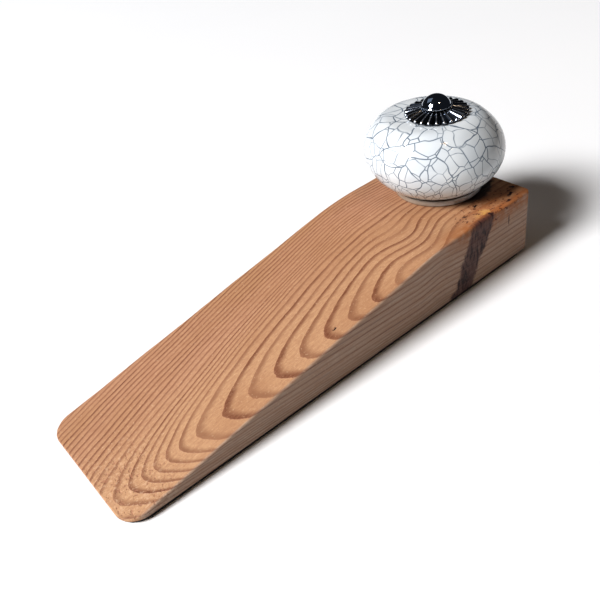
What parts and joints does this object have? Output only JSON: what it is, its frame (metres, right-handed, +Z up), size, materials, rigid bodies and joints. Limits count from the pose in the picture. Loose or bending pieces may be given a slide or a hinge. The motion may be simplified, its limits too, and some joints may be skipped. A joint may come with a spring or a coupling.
{
  "type": "door stop",
  "caption": "Wooden wedge door stop with a round crackle-glazed ceramic knob bolted through its heel as a lifting handle.",
  "frame": {"origin": "centre of the sole, in the floor plane, at the wedge's mid-length and mid-width", "axes": "+X from the thin tip to the thick heel, +Y across the wedge, +Z up"},
  "size_m": [0.1528, 0.0465, 0.0511],
  "materials": {
    "softwood": "satin",
    "black_rubber": "matte",
    "crackle_glaze": "gloss",
    "rosette_chrome": "polished",
    "cap_chrome": "polished",
    "zinc_plated_rod": "satin",
    "zinc_plated_washer": "satin",
    "zinc_plated_nut": "satin"
  },
  "bodies": {
    "wedge": {"wedge_block": "softwood", "non_slip_sheet": "black_rubber"},
    "knob": {"knob_body": "crackle_glaze", "fluted_rosette": "rosette_chrome", "dome_cap": "cap_chrome", "threaded_stud": "zinc_plated_rod", "flat_washer": "zinc_plated_washer", "hex_nut": "zinc_plated_nut"}
  },
  "joints": [
    {"name": "knob_turn", "type": "hinge", "parent": "wedge", "child": "knob", "pos_m": [0.0589, 0.0023, 0.0215], "axis": [0, 0, 1], "continuous": true}
  ]
}
